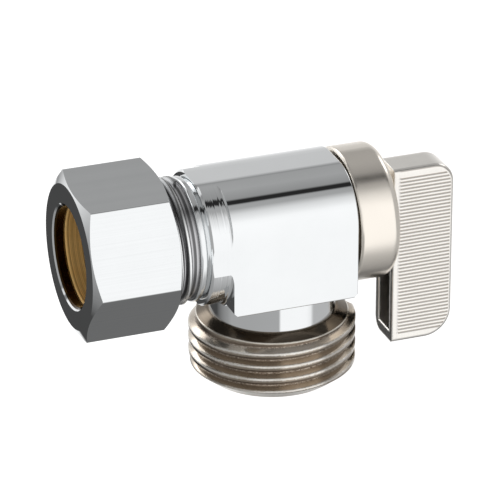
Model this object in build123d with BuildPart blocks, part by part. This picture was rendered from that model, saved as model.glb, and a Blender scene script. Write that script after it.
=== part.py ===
from build123d import *
from math import cos, radians, sin, sqrt, tan
import os

# Quarter-turn boiler drain valve: a compression inlet for copper pipe on the left, a hose thread
# below, and an L-ported ball between them that the ribbed paddle handle turns.
# Millimetres, +Z up. The origin is the centre of the outlet's end face. The inlet, ball, stem and
# handle share one axis along X, which crosses the outlet's upright axis at the ball's centre.
axis_height = 25.0

# Clearances, all measured on the radius or along the axis
running_clearance = 0.05
fit_clearance = 0.1
free_clearance = 0.3
ring_clearance = 0.02

# Body: a block with round top corners and a round boss, its corners turned down to a neck at the inlet
block_inlet_length = 10.3
block_handle_length = 10.55
block_half_width = 10.65
block_rise = 10.35
block_drop = 9.8
block_top_round = 8.35
block_corner = 0.7
block_edge_round = 0.2
block_bottom_round = 0.25
neck_radius = 10.88
neck_length = 3.65
neck_chamfer = 0.35
shoulder_round = 0.6
boss_radius = 10.25
boss_length = 4.1

# Compression inlet: outside thread, pipe socket and waterway
pipe_radius = 7.94
pipe_clearance = 0.1
socket_depth = 8.4
socket_mouth = 0.8
waterway_radius = 4.0
inlet_crest_radius = 10.2
inlet_thread_depth = 0.8
inlet_thread_pitch = 1.411
inlet_root_flat = 0.2
inlet_thread_length = 11.0
inlet_thread_end_angle = 0.0
inlet_end_chamfer = 0.6
inlet_ring_radius = 10.0
inlet_ring_length = 1.25
inlet_ring_round = 0.45
inlet_ring_gap = 0.3
ridge_sink = 0.1

# Compression nut and sleeve
nut_flats = 23.8
nut_length = 14.6
nut_end_wall = 1.7
nut_engagement = 7.3
nut_turned_angle = 7.4
nut_face_radius = 11.66
nut_chamfer_angle = 25.0
nut_edge_round = 0.35
nut_hole_chamfer = 0.5
sleeve_wall = 1.3
sleeve_taper = 1.0
sleeve_mouth = 0.55
sleeve_gap = 0.43

# Ball, seats and their rings
ball_radius = 7.6
port_radius = 3.9
ball_flat_depth = 1.2
slot_width = 3.0
slot_depth = 2.2
cavity_clearance = 0.3
seat_angle = 41.5
seat_lap = 0.2
seat_length = 3.2
ring_section = 1.4

# Hose nipple
hose_crest_radius = 13.4
hose_thread_depth = 1.13
hose_thread_pitch = 2.209
hose_root_flat = 0.28
hose_thread_end_angle = -6.0
hose_thread_end_gap = 1.0
hose_end_radius = 11.1
hose_end_chamfer = 1.9
nipple_top_radius = 10.4
nipple_cone_length = 1.05
nipple_shank_radius = 7.25
nipple_bore_radius = 4.6
nipple_mouth_chamfer = 0.6

# Stem and its thrust washer
stem_radius = 3.5
stem_flat_half = 2.6
stem_flange_radius = 5.0
stem_flange_length = 1.4
stem_washer_thickness = 0.8
stem_groove_width = 1.7
stem_ring_spacing = 2.4
tang_half_width = 3.6

# Bonnet, with the lug that stops the handle
bonnet_step = 0.4
bonnet_land_step = 0.9
bonnet_flange_lap = 0.35
bonnet_flange_length = 1.1
bonnet_hexagon_flats = 11.0
bonnet_hexagon_length = 1.8
lug_width = 2.0
lug_angle = 40.0
stop_angle = 20.0
stop_play_angle = 1.0
quarter_turn = 90.0

# Handle: collar, hub and hollow paddle
collar_radius = 10.95
collar_gap = 0.4
collar_length = 7.0
collar_round = 1.6
collar_rim_round = 0.55
hub_radius = 5.5
hub_length = 1.45
hub_fill_depth = 2.0
hub_fill_half = 6.0
paddle_width = 10.4
paddle_thickness = 7.0
paddle_rise = 7.6
paddle_drop = 22.85
paddle_top_round = 3.3
paddle_bottom_round = 4.6
paddle_edge_round = 0.7
paddle_back_round = 2.0
paddle_side_wall = 1.2
paddle_edge_wall = 1.3
paddle_end_wall = 1.7
groove_pitch = 0.606
groove_depth = 0.16
groove_edge_margin = 0.65
groove_collar_margin = 0.95
groove_top_margin = 1.3
groove_bottom_margin = 1.4
grub_radius = 1.25
grub_length = 5.0
grub_socket_flats = 1.3
grub_socket_depth = 1.6

# Places along the inlet axis that follow from these sizes
block_inlet_x = -block_inlet_length
block_handle_x = block_handle_length
neck_end_x = block_inlet_x - neck_length
shoulder_x = block_inlet_x - shoulder_round
inlet_ring_end_x = neck_end_x - inlet_ring_gap
inlet_ring_x = inlet_ring_end_x - inlet_ring_length
spigot_end_x = inlet_ring_x - inlet_thread_length
socket_end_x = spigot_end_x + socket_depth
nut_inner_x = spigot_end_x + nut_engagement
nut_outer_x = nut_inner_x - nut_length
sleeve_start_x = nut_outer_x + nut_end_wall
sleeve_end_x = spigot_end_x - sleeve_gap

# The seats end at seat_reach from the ball's centre, inside the corner where the two would meet
seat_sphere_radius = ball_radius + running_clearance
seat_reach = ball_radius * cos(radians(seat_angle))
seat_outer_radius = seat_reach - fit_clearance
seat_bore_radius = port_radius + seat_lap
seat_back = seat_reach + seat_length
pocket_end = seat_back + ring_section + ring_clearance
pocket_radius = seat_outer_radius + fit_clearance
cavity_radius = ball_radius + cavity_clearance
cavity_end = seat_reach + free_clearance

# The stem's flange bears on the washer, and the washer on the bonnet's floor; the bonnet's cup
# starts clear of the ball and of the outlet seat's pocket
ball_flat_x = ball_radius - ball_flat_depth
stem_flange_x = ball_flat_x + fit_clearance
stem_washer_x = stem_flange_x + stem_flange_length
bonnet_floor_x = stem_washer_x + stem_washer_thickness
bonnet_cup_radius = stem_flange_radius + free_clearance
ball_edge_x = sqrt((ball_radius + fit_clearance) ** 2 - bonnet_cup_radius ** 2)
bonnet_start_x = max(ball_edge_x, pocket_radius + fit_clearance)
bonnet_thread_radius = cavity_radius + bonnet_step
bonnet_land_radius = bonnet_thread_radius - bonnet_land_step
bonnet_land_x = block_handle_x - ring_section - ring_clearance
bonnet_counterbore_radius = bonnet_land_radius + ring_section + 2 * ring_clearance
bonnet_flange_radius = bonnet_counterbore_radius + bonnet_flange_lap
bonnet_flange_x = block_handle_x + bonnet_flange_length
bonnet_end_x = bonnet_flange_x + bonnet_hexagon_length

# The handle's cup goes over the bonnet, and its paddle stands clear of the collar by the hub
collar_start_x = block_handle_x + collar_gap
collar_end_x = collar_start_x + collar_length
cup_radius = bonnet_flange_radius + free_clearance
cup_floor_x = bonnet_end_x + free_clearance
stem_end_x = collar_end_x - free_clearance
paddle_x = collar_end_x + hub_length
paddle_edge_x = paddle_x + paddle_width
paddle_top_z = axis_height + paddle_rise
paddle_bottom_z = axis_height - paddle_drop

# Heights on the outlet axis
block_bottom_z = axis_height - block_drop
boss_bottom_z = block_bottom_z - boss_length
shank_top_z = axis_height - pocket_end
nipple_cone_z = boss_bottom_z - nipple_cone_length

os.makedirs("parts", exist_ok=True)
inlet_axis = Axis((0, 0, axis_height), (1, 0, 0))
inlet_plane = Plane(origin=(0, 0, axis_height), x_dir=(1, 0, 0), z_dir=(0, -1, 0))


def across(x):
    """The plane square to the inlet axis at x, with Y to its right and Z up it."""
    return Plane(origin=(x, 0, axis_height), x_dir=(0, 1, 0), z_dir=(1, 0, 0))


def turned_face(plane, points):
    """The closed outline of a turned piece: half its section, to be revolved."""
    with BuildSketch(plane) as section:
        with BuildLine():
            Polyline(*points, close=True)
        make_face()
    return section.sketch


def ring_face(plane, distance, centre_radius):
    """The round section of a rubber ring whose middle lies at distance along its axis."""
    with BuildSketch(plane) as section:
        with Locations((distance, centre_radius)):
            Circle(ring_section / 2)
    return section.sketch


def sector_face(plane, inner_radius, outer_radius, start_angle, angle):
    """A piece of a flat ring, for the lug and the stops."""
    with BuildSketch(plane) as sector:
        with BuildLine():
            inner_arc = CenterArc((0, 0), inner_radius, start_angle, angle)
            outer_arc = CenterArc((0, 0), outer_radius, start_angle, angle)
            Line(inner_arc @ 0, outer_arc @ 0)
            Line(inner_arc @ 1, outer_arc @ 1)
        make_face()
    return sector.sketch


def ridge_face(helix, outward, depth, pitch, root_flat):
    """The section of a 60 degree thread's ridge, sunk a little into the core that carries it."""
    slope = tan(radians(30))
    base_half = (pitch - root_flat) / 2
    crest_half = base_half - depth * slope
    sunk_half = base_half + ridge_sink * slope
    with BuildSketch(Plane(origin=helix @ 0, x_dir=outward, z_dir=helix % 0)) as ridge:
        with BuildLine():
            Polyline(
                (-ridge_sink, -sunk_half),
                (depth, -crest_half),
                (depth, crest_half),
                (-ridge_sink, sunk_half),
                close=True,
            )
        make_face()
    return ridge.sketch


# Body: the forged block, its inlet end turned to a neck, ring and threaded spigot
with BuildPart() as valve_body:
    with BuildSketch(across(neck_end_x)) as block_section:
        with Locations((0, (block_rise - block_drop) / 2)):
            Rectangle(2 * block_half_width, block_rise + block_drop)
        fillet(block_section.vertices().group_by(Axis.Y)[-1], block_top_round)
    extrude(amount=block_handle_x - neck_end_x)
    bottom_edges = valve_body.edges().filter_by(Axis.Y).group_by(Axis.Z)[0].sort_by(Axis.X)
    chamfer(bottom_edges[-1], block_corner)
    fillet(valve_body.edges().filter_by(Axis.X).group_by(Axis.Z)[0], block_bottom_round)
    fillet(valve_body.faces().sort_by(Axis.X)[-1].edges(), block_edge_round)
    # The turning tool takes the corners off the neck and leaves the block's flats between them;
    # its round nose leaves a round shoulder
    turning_reach = 2 * block_half_width
    with BuildSketch(inlet_plane):
        with BuildLine():
            shoulder = RadiusArc(
                (shoulder_x, neck_radius), (block_inlet_x, neck_radius + shoulder_round), -shoulder_round
            )
            Polyline(
                shoulder @ 1,
                (block_inlet_x, turning_reach),
                (neck_end_x, turning_reach),
                (neck_end_x, neck_radius - neck_chamfer),
                (neck_end_x + neck_chamfer, neck_radius),
                shoulder @ 0,
            )
        make_face()
    revolve(axis=inlet_axis, mode=Mode.SUBTRACT)
    # The block's lower inlet corners are cut off on both sides of the neck
    neck_foot = sqrt(max(0, (neck_radius + shoulder_round) ** 2 - block_drop ** 2))
    for side in (-1, 1):
        corner_plane = Plane(origin=(0, side * neck_foot, 0), x_dir=(1, 0, 0), z_dir=(0, side, 0))
        with BuildSketch(corner_plane):
            with BuildLine():
                Polyline(
                    (block_inlet_x, -side * block_bottom_z),
                    (block_inlet_x + block_corner, -side * block_bottom_z),
                    (block_inlet_x, -side * (block_bottom_z + block_corner)),
                    close=True,
                )
            make_face()
        extrude(amount=block_half_width, mode=Mode.SUBTRACT)
    with BuildSketch(Plane.XY.offset(boss_bottom_z)):
        Circle(boss_radius)
    extrude(amount=boss_length)
    inlet_root_radius = inlet_crest_radius - inlet_thread_depth
    inlet_thread_x = spigot_end_x - inlet_thread_pitch
    revolve(
        turned_face(
            inlet_plane,
            [
                (shoulder_x, 0),
                (inlet_thread_x - inlet_thread_pitch, 0),
                (inlet_thread_x - inlet_thread_pitch, inlet_root_radius),
                (shoulder_x, inlet_root_radius),
            ],
        ),
        axis=inlet_axis,
    )
    with BuildSketch(inlet_plane):
        with Locations((inlet_ring_x + inlet_ring_length / 2, inlet_ring_radius - inlet_ring_length / 2)):
            RectangleRounded(inlet_ring_length, inlet_ring_length, inlet_ring_round)
    revolve(axis=inlet_axis)
    # Inlet thread, run out just short of the ring and cut off square at the spigot's end
    inlet_thread_end_x = inlet_ring_x - inlet_thread_pitch / 2
    inlet_thread_run = inlet_thread_end_x - inlet_thread_x
    inlet_start_angle = inlet_thread_end_angle - 360 * inlet_thread_run / inlet_thread_pitch
    with BuildLine() as inlet_helix:
        inlet_turns = Helix(
            inlet_thread_pitch,
            inlet_thread_run,
            inlet_root_radius,
            center=(inlet_thread_x, 0, axis_height),
            direction=(1, 0, 0),
            mode=Mode.PRIVATE,
        )
        add(inlet_turns.rotate(inlet_axis, inlet_start_angle))
    inlet_outward = (inlet_helix.line @ 0) - Vector(inlet_thread_x, 0, axis_height)
    sweep(
        ridge_face(inlet_helix.line, inlet_outward, inlet_thread_depth, inlet_thread_pitch, inlet_root_flat),
        path=inlet_helix.line,
        is_frenet=True,
    )
    revolve(
        turned_face(
            inlet_plane,
            [
                (inlet_thread_x - 2 * inlet_thread_pitch, 0),
                (inlet_thread_x - 2 * inlet_thread_pitch, inlet_crest_radius + free_clearance),
                (spigot_end_x + inlet_end_chamfer + free_clearance, inlet_crest_radius + free_clearance),
                (spigot_end_x, inlet_crest_radius - inlet_end_chamfer),
                (spigot_end_x, 0),
            ],
        ),
        axis=inlet_axis,
        mode=Mode.SUBTRACT,
    )
    # Pipe socket, waterway, inlet seat pocket, ball cavity and bonnet bore
    socket_radius = pipe_radius + pipe_clearance
    bonnet_bore_radius = bonnet_thread_radius + running_clearance
    revolve(
        turned_face(
            inlet_plane,
            [
                (spigot_end_x, 0),
                (spigot_end_x, socket_radius + socket_mouth),
                (spigot_end_x + socket_mouth, socket_radius),
                (socket_end_x, socket_radius),
                (socket_end_x, waterway_radius),
                (-pocket_end, waterway_radius),
                (-pocket_end, pocket_radius),
                (-cavity_end, pocket_radius),
                (-cavity_end, cavity_radius),
                (bonnet_start_x - free_clearance, cavity_radius),
                (bonnet_start_x - free_clearance, bonnet_bore_radius),
                (bonnet_land_x, bonnet_bore_radius),
                (bonnet_land_x, bonnet_counterbore_radius),
                (block_handle_x, bonnet_counterbore_radius),
                (block_handle_x, 0),
            ],
        ),
        axis=inlet_axis,
        mode=Mode.SUBTRACT,
    )
    # Outlet seat pocket, and below it the bore that the nipple's shank screws into
    shank_bore_radius = nipple_shank_radius + running_clearance
    shank_bore_top_z = shank_top_z + fit_clearance
    revolve(
        turned_face(
            Plane.XZ,
            [
                (0, axis_height),
                (pocket_radius, axis_height),
                (pocket_radius, shank_bore_top_z),
                (shank_bore_radius, shank_bore_top_z),
                (shank_bore_radius, boss_bottom_z),
                (0, boss_bottom_z),
            ],
        ),
        axis=Axis.Z,
        mode=Mode.SUBTRACT,
    )
valve_body.part.label = "valve_body"
export_step(valve_body.part, "parts/valve_body.step")

# Compression nut: hexagon, chamfered at both ends, with the thread's bore and the pipe's hole
with BuildPart() as compression_nut:
    with BuildSketch(across(nut_outer_x)):
        RegularPolygon(nut_flats / 2, 6, major_radius=False, rotation=nut_turned_angle)
    extrude(amount=nut_length)
    fillet(compression_nut.edges().filter_by(Axis.X), nut_edge_round)
    nut_reach = nut_flats
    nut_chamfer_length = (nut_reach - nut_face_radius) * tan(radians(nut_chamfer_angle))
    revolve(
        turned_face(
            inlet_plane,
            [
                (nut_outer_x, 0),
                (nut_outer_x, nut_face_radius),
                (nut_outer_x + nut_chamfer_length, nut_reach),
                (nut_inner_x - nut_chamfer_length, nut_reach),
                (nut_inner_x, nut_face_radius),
                (nut_inner_x, 0),
            ],
        ),
        axis=inlet_axis,
        mode=Mode.INTERSECT,
    )
    nut_hole_radius = pipe_radius + pipe_clearance
    nut_bore_radius = inlet_crest_radius + fit_clearance
    revolve(
        turned_face(
            inlet_plane,
            [
                (nut_outer_x, 0),
                (nut_outer_x, nut_hole_radius + nut_hole_chamfer),
                (nut_outer_x + nut_hole_chamfer, nut_hole_radius),
                (sleeve_start_x, nut_hole_radius),
                (sleeve_start_x, nut_bore_radius),
                (nut_inner_x, nut_bore_radius),
                (nut_inner_x, 0),
            ],
        ),
        axis=inlet_axis,
        mode=Mode.SUBTRACT,
    )
compression_nut.part.label = "compression_nut"
export_step(compression_nut.part, "parts/compression_nut.step")

# Compression sleeve: seated on the nut's end wall, tapered towards the spigot's mouth
with BuildPart() as compression_sleeve:
    sleeve_bore_radius = pipe_radius + pipe_clearance
    sleeve_radius = sleeve_bore_radius + sleeve_wall
    revolve(
        turned_face(
            inlet_plane,
            [
                (sleeve_start_x, sleeve_bore_radius + sleeve_mouth),
                (sleeve_start_x, sleeve_radius - sleeve_mouth / 2),
                (sleeve_start_x + sleeve_mouth / 2, sleeve_radius),
                (sleeve_end_x - sleeve_taper, sleeve_radius),
                (sleeve_end_x, sleeve_radius - sleeve_taper),
                (sleeve_end_x, sleeve_bore_radius),
                (sleeve_start_x + sleeve_mouth, sleeve_bore_radius),
            ],
        ),
        axis=inlet_axis,
    )
compression_sleeve.part.label = "compression_sleeve"
export_step(compression_sleeve.part, "parts/compression_sleeve.step")

# Ball: one way in from the inlet, one way down to the outlet, and a slot for the stem's tang
with BuildPart() as ball:
    with Locations((0, 0, axis_height)):
        Sphere(ball_radius)
    with BuildSketch(across(ball_flat_x)):
        Circle(ball_radius)
    extrude(amount=ball_flat_depth, mode=Mode.SUBTRACT)
    with BuildSketch(across(0)):
        Circle(port_radius)
    extrude(amount=-ball_radius, mode=Mode.SUBTRACT)
    with BuildSketch(Plane.XY.offset(axis_height)):
        Circle(port_radius)
    extrude(amount=-ball_radius, mode=Mode.SUBTRACT)
    with Locations((0, 0, axis_height)):
        Sphere(port_radius, mode=Mode.SUBTRACT)
    with BuildSketch(across(ball_flat_x)):
        Rectangle(slot_width, 2 * ball_radius)
    extrude(amount=-slot_depth, mode=Mode.SUBTRACT)
ball.part.label = "ball"
export_step(ball.part, "parts/ball.step")

# Seats: two alike, hollowed to the ball, each loaded by a rubber ring behind it
seat_points = [
    (seat_bore_radius, 0),
    (seat_outer_radius, 0),
    (seat_outer_radius, seat_length),
    (seat_bore_radius, seat_length),
]
seat_ring_radius = seat_outer_radius - ring_section / 2

with BuildPart() as inlet_seat:
    inlet_seat_points = [(-seat_reach - depth, radius) for radius, depth in seat_points]
    revolve(turned_face(inlet_plane, inlet_seat_points), axis=inlet_axis)
    with Locations((0, 0, axis_height)):
        Sphere(seat_sphere_radius, mode=Mode.SUBTRACT)
inlet_seat.part.label = "inlet_seat"
export_step(inlet_seat.part, "parts/inlet_seat.step")

with BuildPart() as outlet_seat:
    seat_top_z = axis_height - seat_reach
    outlet_seat_points = [(radius, seat_top_z - depth) for radius, depth in seat_points]
    revolve(turned_face(Plane.XZ, outlet_seat_points), axis=Axis.Z)
    with Locations((0, 0, axis_height)):
        Sphere(seat_sphere_radius, mode=Mode.SUBTRACT)
outlet_seat.part.label = "outlet_seat"
export_step(outlet_seat.part, "parts/outlet_seat.step")

seat_ring_reach = seat_back + ring_section / 2 + ring_clearance / 2
with BuildPart() as inlet_seat_o_ring:
    revolve(ring_face(inlet_plane, -seat_ring_reach, seat_ring_radius), axis=inlet_axis)
inlet_seat_o_ring.part.label = "inlet_seat_o_ring"
export_step(inlet_seat_o_ring.part, "parts/inlet_seat_o_ring.step")

with BuildPart() as outlet_seat_o_ring:
    with BuildSketch(Plane.XZ):
        with Locations((seat_ring_radius, axis_height - seat_ring_reach)):
            Circle(ring_section / 2)
    revolve(axis=Axis.Z)
outlet_seat_o_ring.part.label = "outlet_seat_o_ring"
export_step(outlet_seat_o_ring.part, "parts/outlet_seat_o_ring.step")

# Hose nipple: its shank screws up into the boss and carries the outlet seat, the hose screws on below
with BuildPart() as hose_nipple:
    hose_root_radius = hose_crest_radius - hose_thread_depth
    hose_thread_z = -hose_thread_pitch
    revolve(
        turned_face(
            Plane.XZ,
            [
                (0, hose_thread_z - hose_thread_pitch),
                (hose_root_radius, hose_thread_z - hose_thread_pitch),
                (hose_root_radius, nipple_cone_z),
                (nipple_top_radius, boss_bottom_z),
                (nipple_shank_radius, boss_bottom_z),
                (nipple_shank_radius, shank_top_z),
                (0, shank_top_z),
            ],
        ),
        axis=Axis.Z,
    )
    # Hose thread, run out under the cone and cut off by the chamfer at the end face
    hose_thread_end_z = nipple_cone_z - hose_thread_end_gap
    hose_thread_rise = hose_thread_end_z - hose_thread_z
    hose_start_angle = hose_thread_end_angle - 360 * hose_thread_rise / hose_thread_pitch
    with BuildLine() as hose_helix:
        hose_turns = Helix(
            hose_thread_pitch,
            hose_thread_rise,
            hose_root_radius,
            center=(0, 0, hose_thread_z),
            mode=Mode.PRIVATE,
        )
        add(hose_turns.rotate(Axis.Z, hose_start_angle))
    hose_outward = (hose_helix.line @ 0) - Vector(0, 0, hose_thread_z)
    sweep(
        ridge_face(hose_helix.line, hose_outward, hose_thread_depth, hose_thread_pitch, hose_root_flat),
        path=hose_helix.line,
        is_frenet=True,
    )
    hose_reach = hose_crest_radius + free_clearance
    hose_chamfer_slope = hose_end_chamfer / (hose_crest_radius - hose_end_radius)
    revolve(
        turned_face(
            Plane.XZ,
            [
                (0, hose_thread_z - 2 * hose_thread_pitch),
                (hose_reach, hose_thread_z - 2 * hose_thread_pitch),
                (hose_reach, hose_chamfer_slope * (hose_reach - hose_end_radius)),
                (hose_end_radius, 0),
                (0, 0),
            ],
        ),
        axis=Axis.Z,
        mode=Mode.SUBTRACT,
    )
    revolve(
        turned_face(
            Plane.XZ,
            [
                (0, 0),
                (nipple_bore_radius + nipple_mouth_chamfer, 0),
                (nipple_bore_radius, nipple_mouth_chamfer),
                (nipple_bore_radius, shank_top_z),
                (0, shank_top_z),
            ],
        ),
        axis=Axis.Z,
        mode=Mode.SUBTRACT,
    )
hose_nipple.part.label = "hose_nipple"
export_step(hose_nipple.part, "parts/hose_nipple.step")

# Stem: tang in the ball's slot, flange under the bonnet, two ring grooves, flats for the handle
stem_groove_radius = stem_radius - ring_section
stem_bore_radius = stem_radius + running_clearance
stem_ring_radius = stem_groove_radius + ring_section / 2 + ring_clearance
bonnet_bore_middle_x = (bonnet_floor_x + bonnet_end_x) / 2
stem_ring_places = [bonnet_bore_middle_x + side * stem_ring_spacing / 2 for side in (-1, 1)]

with BuildPart() as stem:
    tang_x = ball_flat_x - slot_depth + fit_clearance
    with BuildSketch(across(tang_x)):
        Rectangle(slot_width - 2 * running_clearance, 2 * tang_half_width)
    extrude(amount=stem_flange_x - tang_x)
    with BuildSketch(across(stem_flange_x)):
        Circle(stem_flange_radius)
    extrude(amount=stem_flange_length)
    with BuildSketch(across(stem_washer_x)):
        Circle(stem_radius)
    extrude(amount=stem_end_x - stem_washer_x)
    for ring_place in stem_ring_places:
        with BuildSketch(across(ring_place - stem_groove_width / 2)):
            Circle(stem_radius + free_clearance)
            Circle(stem_groove_radius, mode=Mode.SUBTRACT)
        extrude(amount=stem_groove_width, mode=Mode.SUBTRACT)
    for side in (-1, 1):
        with BuildSketch(across(cup_floor_x)):
            with Locations((side * (stem_flat_half + stem_radius / 2), 0)):
                Rectangle(stem_radius, 2 * stem_radius + free_clearance)
        extrude(amount=stem_end_x - cup_floor_x, mode=Mode.SUBTRACT)
stem.part.label = "stem"
export_step(stem.part, "parts/stem.step")

with BuildPart() as stem_thrust_washer:
    with BuildSketch(across(stem_washer_x)):
        Circle(stem_flange_radius)
        Circle(stem_bore_radius, mode=Mode.SUBTRACT)
    extrude(amount=stem_washer_thickness)
stem_thrust_washer.part.label = "stem_thrust_washer"
export_step(stem_thrust_washer.part, "parts/stem_thrust_washer.step")

with BuildPart() as stem_o_ring_inner:
    revolve(ring_face(inlet_plane, stem_ring_places[0], stem_ring_radius), axis=inlet_axis)
stem_o_ring_inner.part.label = "stem_o_ring_inner"
export_step(stem_o_ring_inner.part, "parts/stem_o_ring_inner.step")

with BuildPart() as stem_o_ring_outer:
    revolve(ring_face(inlet_plane, stem_ring_places[1], stem_ring_radius), axis=inlet_axis)
stem_o_ring_outer.part.label = "stem_o_ring_outer"
export_step(stem_o_ring_outer.part, "parts/stem_o_ring_outer.step")

# Bonnet: screwed into the body, its cup holds the stem in; hexagon and stop lug stand outside
lug_outer_radius = bonnet_flange_radius - free_clearance
lug_inner_radius = lug_outer_radius - lug_width
with BuildPart() as bonnet:
    revolve(
        turned_face(
            inlet_plane,
            [
                (bonnet_start_x, bonnet_cup_radius),
                (bonnet_start_x, bonnet_thread_radius),
                (bonnet_land_x, bonnet_thread_radius),
                (bonnet_land_x, bonnet_land_radius),
                (block_handle_x, bonnet_land_radius),
                (block_handle_x, bonnet_flange_radius),
                (bonnet_flange_x, bonnet_flange_radius),
                (bonnet_flange_x, stem_bore_radius),
                (bonnet_floor_x, stem_bore_radius),
                (bonnet_floor_x, bonnet_cup_radius),
            ],
        ),
        axis=inlet_axis,
    )
    with BuildSketch(across(bonnet_flange_x)):
        RegularPolygon(bonnet_hexagon_flats / 2, 6, major_radius=False)
        Circle(stem_bore_radius, mode=Mode.SUBTRACT)
    extrude(amount=bonnet_hexagon_length)
    lug_start_angle = 90 - lug_angle / 2
    lug = sector_face(across(bonnet_flange_x), lug_inner_radius, lug_outer_radius, lug_start_angle, lug_angle)
    extrude(lug, amount=bonnet_hexagon_length)
bonnet.part.label = "bonnet"
export_step(bonnet.part, "parts/bonnet.step")

with BuildPart() as bonnet_o_ring:
    bonnet_ring_x = block_handle_x - ring_section / 2 - ring_clearance / 2
    bonnet_ring_radius = bonnet_land_radius + ring_section / 2 + ring_clearance
    revolve(ring_face(inlet_plane, bonnet_ring_x, bonnet_ring_radius), axis=inlet_axis)
bonnet_o_ring.part.label = "bonnet_o_ring"
export_step(bonnet_o_ring.part, "parts/bonnet_o_ring.step")

# Handle, first its hollow paddle: a flat box open towards the collar, round at its outer corners
paddle_middle_z = (paddle_top_z + paddle_bottom_z) / 2
paddle_height = paddle_top_z - paddle_bottom_z
paddle_plane = Plane(origin=(0, 0, 0), x_dir=(1, 0, 0), z_dir=(0, -1, 0))


def paddle_face(inset, collar_inset):
    """The paddle's outline seen from the front, drawn in from its edge and at its collar side."""
    top_round = paddle_top_round - inset
    bottom_round = paddle_bottom_round - inset
    left_x = paddle_x + collar_inset
    right_x = paddle_edge_x - inset
    top_z = paddle_top_z - inset
    bottom_z = paddle_bottom_z + inset
    corners = [(left_x, bottom_z), (right_x, bottom_z), (right_x, top_z), (left_x, top_z)]
    with BuildSketch(paddle_plane) as outline:
        with BuildLine():
            FilletPolyline(*corners, radius=[0, bottom_round, top_round, 0], close=True)
        make_face()
    return outline.sketch


with BuildPart() as paddle:
    extrude(paddle_face(0, 0), amount=paddle_thickness / 2, both=True)
    fillet(paddle.faces().sort_by(Axis.Y)[0].edges().sort_by(Axis.X)[1:], paddle_edge_round)
    fillet(paddle.faces().sort_by(Axis.Y)[-1].edges().sort_by(Axis.X)[1:], paddle_back_round)
    with BuildSketch(across(paddle_x)):
        with Locations((0, paddle_middle_z - axis_height)):
            Rectangle(paddle_thickness - 2 * paddle_side_wall, paddle_height - 2 * paddle_end_wall)
    extrude(amount=paddle_width - paddle_edge_wall, mode=Mode.SUBTRACT)

# The grip: fine grooves along both faces, cut off where the paddle's corners are round
groove_top_z = paddle_top_z - groove_top_margin
groove_bottom_z = paddle_bottom_z + groove_bottom_margin
groove_middle_z = (groove_top_z + groove_bottom_z) / 2
groove_count = int((groove_top_z - groove_bottom_z) / groove_pitch) + 1
with BuildPart() as grip_grooves:
    with BuildSketch(across(paddle_x)):
        with Locations((0, groove_middle_z - axis_height)):
            with GridLocations(paddle_thickness, groove_pitch, 2, groove_count):
                RegularPolygon(groove_depth, 4)
    extrude(amount=paddle_width)
    groove_outline = paddle_face(groove_edge_margin, groove_collar_margin)
    extrude(groove_outline, amount=paddle_thickness, both=True, mode=Mode.INTERSECT)

with BuildPart() as handle:
    revolve(
        turned_face(
            inlet_plane,
            [
                (collar_start_x, 0),
                (collar_start_x, collar_radius),
                (collar_end_x, collar_radius),
                (collar_end_x, 0),
            ],
        ),
        axis=inlet_axis,
    )
    fillet(handle.edges().sort_by(Axis.X)[-1], collar_round)
    fillet(handle.edges().sort_by(Axis.X)[0], collar_rim_round)
    with BuildSketch(across(collar_end_x)):
        Circle(hub_radius)
    extrude(amount=hub_length)
    add(paddle.part)
    with BuildSketch(across(paddle_x)):
        Rectangle(paddle_thickness - paddle_side_wall, 2 * hub_fill_half)
    extrude(amount=hub_fill_depth)
    # Cup over the bonnet, with two stops either side of its lug
    with BuildSketch(across(collar_start_x)):
        Circle(cup_radius)
    extrude(amount=cup_floor_x - collar_start_x, mode=Mode.SUBTRACT)
    stop_x = bonnet_flange_x + free_clearance
    open_stop_angle = lug_start_angle - stop_play_angle - stop_angle
    closed_stop_angle = lug_start_angle + lug_angle + quarter_turn + stop_play_angle
    for start_angle in (open_stop_angle, closed_stop_angle):
        stop_outer_radius = collar_radius - free_clearance
        stop = sector_face(across(stop_x), lug_inner_radius, stop_outer_radius, start_angle, stop_angle)
        extrude(stop, amount=cup_floor_x - stop_x)
    # Socket for the stem's flats, and the screw's hole from the back of the collar
    with BuildSketch(across(cup_floor_x)):
        Circle(stem_bore_radius)
        Rectangle(2 * (stem_flat_half + running_clearance), 2 * collar_radius, mode=Mode.INTERSECT)
    extrude(amount=collar_end_x - cup_floor_x, mode=Mode.SUBTRACT)
    grub_x = (cup_floor_x + stem_end_x) / 2
    grub_plane = Plane(origin=(grub_x, stem_flat_half, axis_height), x_dir=(1, 0, 0), z_dir=(0, 1, 0))
    with BuildSketch(grub_plane):
        Circle(grub_radius + ring_clearance)
    extrude(amount=collar_radius, mode=Mode.SUBTRACT)
    add(grip_grooves.part, mode=Mode.SUBTRACT)
handle.part.label = "handle"
export_step(handle.part, "parts/handle.step")

with BuildPart() as handle_grub_screw:
    with BuildSketch(grub_plane):
        Circle(grub_radius)
    extrude(amount=grub_length)
    with BuildSketch(grub_plane.offset(grub_length)):
        RegularPolygon(grub_socket_flats / 2, 6, major_radius=False)
    extrude(amount=-grub_socket_depth, mode=Mode.SUBTRACT)
handle_grub_screw.part.label = "handle_grub_screw"
export_step(handle_grub_screw.part, "parts/handle_grub_screw.step")
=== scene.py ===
# %% [markdown]
# # A chromed boiler drain valve
# The valve is a small plumbing fitting: a forged body with a compression nut on its left, a hose
# thread below and a ribbed paddle handle on its right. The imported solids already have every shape,
# so this lesson is about finishes and light. Polished chrome has hardly any colour of its own: what
# the eye sees is the room mirrored in it, so the room is designed as carefully as the materials.

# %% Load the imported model
import math
from types import SimpleNamespace

import bmesh
import bpy
from mathutils import Matrix, Vector


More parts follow.
